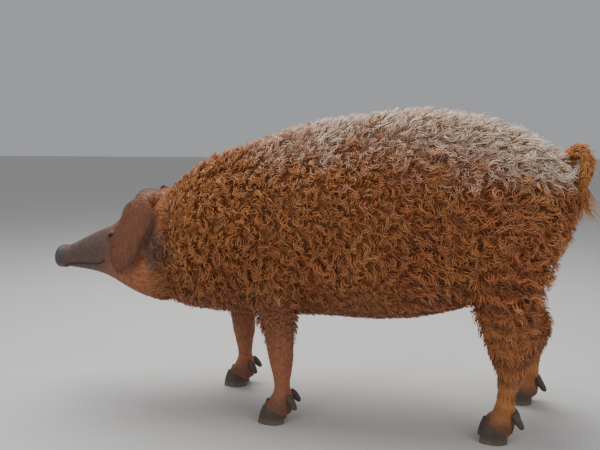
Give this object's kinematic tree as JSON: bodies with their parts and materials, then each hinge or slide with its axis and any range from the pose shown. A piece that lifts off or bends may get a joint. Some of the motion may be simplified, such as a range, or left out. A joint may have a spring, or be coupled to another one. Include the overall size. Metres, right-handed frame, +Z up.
{
  "type": "domestic pig",
  "caption": "Standing curly-coated domestic pig, still model at life size, head stretched forward and low, drooping ears and a curled tail",
  "frame": {"origin": "on the floor under the middle of the whole box, tail tuft and snout included", "axes": "-X towards the snout, +X towards the tail, -Y towards the pig's left side, +Z up"},
  "size_m": [1.4102, 0.4052, 0.7937],
  "materials": {
    "coat": "dense tight curls, rust red with a pale cream-grey back",
    "face": "short bristly hair over skin, darker towards the nose",
    "shank": "short wavy hair",
    "ear": "thin skin with short hair",
    "nose": "bare moist dark skin",
    "horn": "dark dull horn",
    "eye": "wet dark eye"
  },
  "bodies": {
    "root": {"dewclaw_foreleg_left_inner": "horn", "dewclaw_foreleg_left_outer": "horn", "dewclaw_foreleg_right_inner": "horn", "dewclaw_foreleg_right_outer": "horn", "dewclaw_hindleg_left_inner": "horn", "dewclaw_hindleg_left_outer": "horn", "dewclaw_hindleg_right_inner": "horn", "dewclaw_hindleg_right_outer": "horn", "ear_left": "ear", "ear_right": "ear", "eye_left": "eye", "eye_right": "eye", "foreleg_left": "shank", "foreleg_right": "shank", "head": "face", "hoof_foreleg_left_inner": "horn", "hoof_foreleg_left_outer": "horn", "hoof_foreleg_right_inner": "horn", "hoof_foreleg_right_outer": "horn", "hoof_hindleg_left_inner": "horn", "hoof_hindleg_left_outer": "horn", "hoof_hindleg_right_inner": "horn", "hoof_hindleg_right_outer": "horn", "neck": "coat", "nose_disc": "nose", "shank_left": "shank", "shank_right": "shank", "tail_root": "coat", "tail_tip": "coat", "thigh_left": "coat", "thigh_right": "coat", "torso": "coat"}
  },
  "joints": []
}
